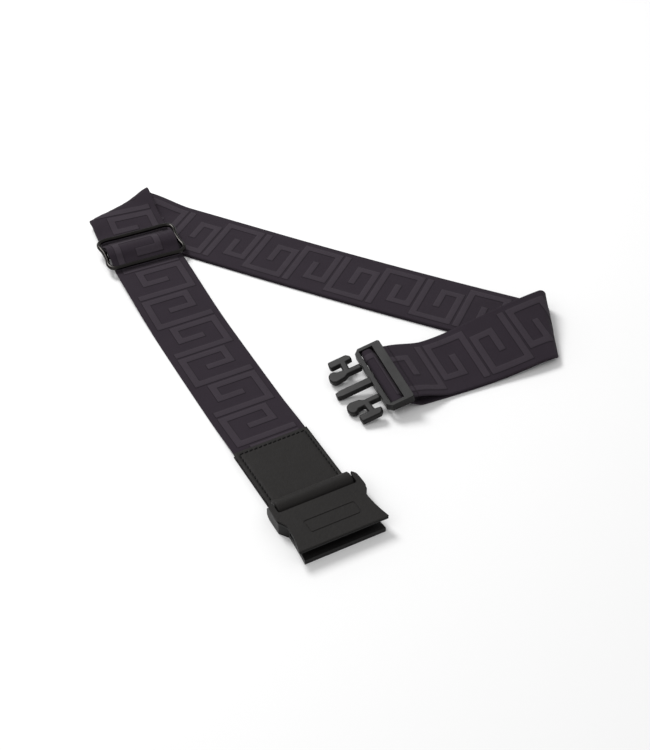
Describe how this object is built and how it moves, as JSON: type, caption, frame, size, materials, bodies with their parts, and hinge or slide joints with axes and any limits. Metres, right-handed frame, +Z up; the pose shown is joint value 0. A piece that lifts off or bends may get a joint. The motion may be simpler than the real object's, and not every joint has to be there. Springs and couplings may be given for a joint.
{
  "type": "luggage strap",
  "caption": "Adjustable webbing luggage strap with a leather-faced side-release buckle and a wire slider, laid out in a loose Z.",
  "frame": {"origin": "middle of the laid-out strap's footprint, on the surface it lies on", "axes": "+Y along the socket and first run, away from the socket's mouth; +Z up; +X to the right"},
  "size_m": [0.2554, 0.3724, 0.0163],
  "materials": {
    "webbing": "dark charcoal jacquard webbing with a raised fret",
    "leather": "near-black smooth leather, soft sheen",
    "plastic": "black moulded plastic, satin",
    "gunmetal": "dark gunmetal plated wire",
    "thread": "black bonded thread"
  },
  "bodies": {
    "strap": {"webbing_first_run": "webbing", "webbing_slider_pass": "webbing", "webbing_slider_loop": "webbing", "webbing_corner_outer": "webbing", "webbing_corner_inner": "webbing", "webbing_long_run_outer": "webbing", "webbing_long_run_inner": "webbing", "webbing_turn_outer": "webbing", "webbing_turn_inner": "webbing", "webbing_return_run_outer": "webbing", "webbing_return_run_inner": "webbing", "leather_tab": "leather", "tab_thread_left": "thread", "tab_thread_right": "thread", "tab_thread_end": "thread"},
    "socket": {"socket_base": "plastic", "socket_top": "plastic", "socket_leather": "leather"},
    "slider": {"slider_frame": "gunmetal", "slider_bar": "gunmetal"},
    "prongs": {"prong_frame": "plastic", "webbing_buckle_loop": "webbing"},
    "arm_left": {"prong_arm_left": "plastic"},
    "arm_right": {"prong_arm_right": "plastic"}
  },
  "joints": [
    {"name": "socket_swing", "type": "hinge", "parent": "strap", "child": "socket", "pos_m": [-0.09785, -0.14591, 0.0062], "axis": [-1, 0, 0], "range_deg": [0, 80]},
    {"name": "slider_tilt", "type": "hinge", "parent": "strap", "child": "slider", "pos_m": [-0.09204, 0.12518, 0.00785], "axis": [0.9974, -0.0718, 0], "range_deg": [-2, 2]},
    {"name": "prong_tilt", "type": "hinge", "parent": "strap", "child": "prongs", "pos_m": [-0.01142, -0.07789, 0.00947], "axis": [0.1007, 0.9943, 0.0339], "range_deg": [0, 25]},
    {"name": "arm_left_flex", "type": "hinge", "parent": "prongs", "child": "arm_left", "pos_m": [-0.02091, -0.09206, 0.00786], "axis": [0.2357, 0.0093, -0.9718], "range_deg": [0, 6], "stiffness_Nm_per_rad": 0.5},
    {"name": "arm_right_flex", "type": "hinge", "parent": "prongs", "child": "arm_right", "pos_m": [-0.01786, -0.06203, 0.00888], "axis": [-0.2357, -0.0093, 0.9718], "range_deg": [0, 6], "stiffness_Nm_per_rad": 0.5}
  ]
}
